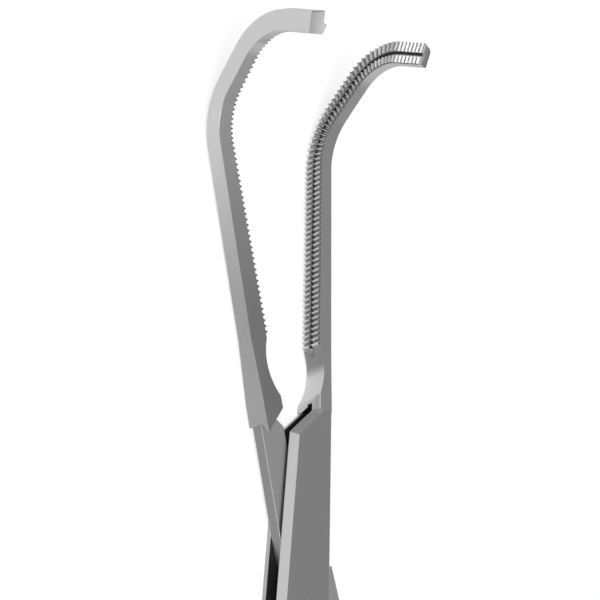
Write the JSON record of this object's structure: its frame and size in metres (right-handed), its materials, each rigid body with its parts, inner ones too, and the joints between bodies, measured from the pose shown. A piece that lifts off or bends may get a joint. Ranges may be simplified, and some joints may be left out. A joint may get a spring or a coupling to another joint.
{
  "type": "vascular clamp",
  "caption": "Ring-handled vascular clamp with a box lock, long slim jaws that turn through two bends, and fine rows of cross teeth.",
  "frame": {"origin": "on the hinge axis, at the underside of the box lock on which the clamp lies", "axes": "+X along the closed clamp towards the jaw tips, +Z along the hinge axis, the way the jaws bend; +Y towards the male jaw"},
  "size_m": [0.1612, 0.0748, 0.0159],
  "materials": {
    "satin_jaw": "satin",
    "satin_lock": "satin",
    "satin_handle": "satin",
    "pin": "satin, ground flush"
  },
  "bodies": {
    "female_half": {"female_jaw": "satin_jaw", "female_box": "satin_lock", "female_shank": "satin_handle", "female_ratchet": "satin_handle", "female_ring": "satin_handle", "pivot_pin": "pin"},
    "male_half": {"male_jaw": "satin_jaw", "male_tongue": "satin_lock", "male_shank": "satin_handle", "male_ratchet": "satin_handle", "male_ring": "satin_handle"}
  },
  "joints": [
    {"name": "box_lock_hinge", "type": "hinge", "parent": "female_half", "child": "male_half", "pos_m": [0, 0, 0.00125], "axis": [0, 0, 1], "range_deg": [-14.35, 15]}
  ]
}
